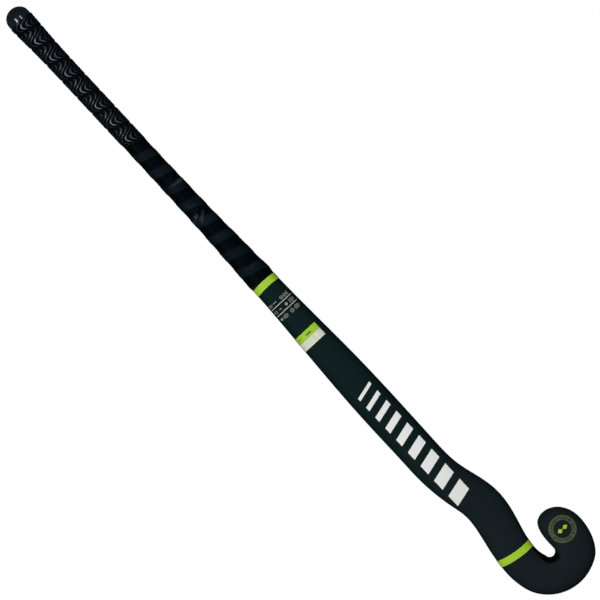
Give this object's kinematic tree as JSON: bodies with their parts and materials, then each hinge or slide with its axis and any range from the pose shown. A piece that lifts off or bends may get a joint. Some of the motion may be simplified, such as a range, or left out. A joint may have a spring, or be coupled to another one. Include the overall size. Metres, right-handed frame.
{
  "type": "field hockey stick",
  "caption": "Composite field hockey stick with a tape-wrapped round handle, a bowed flat-faced shaft and a tightly curved hook head.",
  "frame": {"origin": "bottom centre of the whole stick as it lies on its flat playing face", "axes": "+X from the butt of the handle to the heel of the head, +Y towards the toe, +Z from the playing face to the rounded back"},
  "size_m": [0.9269, 0.106, 0.0452],
  "materials": {
    "shaft_laminate": "satin charcoal lacquer over carbon and glass fibre laminate",
    "inner_tube": "bare fibre laminate",
    "foam": "rigid closed-cell foam",
    "cap_rubber": "glossy moulded end cap",
    "cushion": "thin foam cushion tape",
    "grip_textured": "embossed polyurethane tape with raised wavy ridges",
    "grip_smooth": "smooth satin polyurethane tape",
    "lime_tape": "finishing tape",
    "lime_film": "printed film",
    "white_film": "printed film",
    "badge_film": "half-transparent printed film"
  },
  "bodies": {
    "root": {"laminate_shell": "shaft_laminate", "inner_tube_toe_side": "inner_tube", "inner_tube_heel_side": "inner_tube", "damping_plug_toe_side": "foam", "damping_plug_heel_side": "foam", "head_foam_core": "foam", "butt_cap": "cap_rubber", "grip_underlay": "cushion", "grip_tape_textured": "grip_textured", "grip_tape_smooth": "grip_smooth", "grip_finish_band": "lime_tape", "head_stripe": "lime_film", "size_label_lime": "lime_film", "size_label_white": "white_film", "spec_print": "white_film", "shaft_graphic": "white_film", "badge_ring": "badge_film", "badge_emblem": "lime_film"}
  },
  "joints": []
}
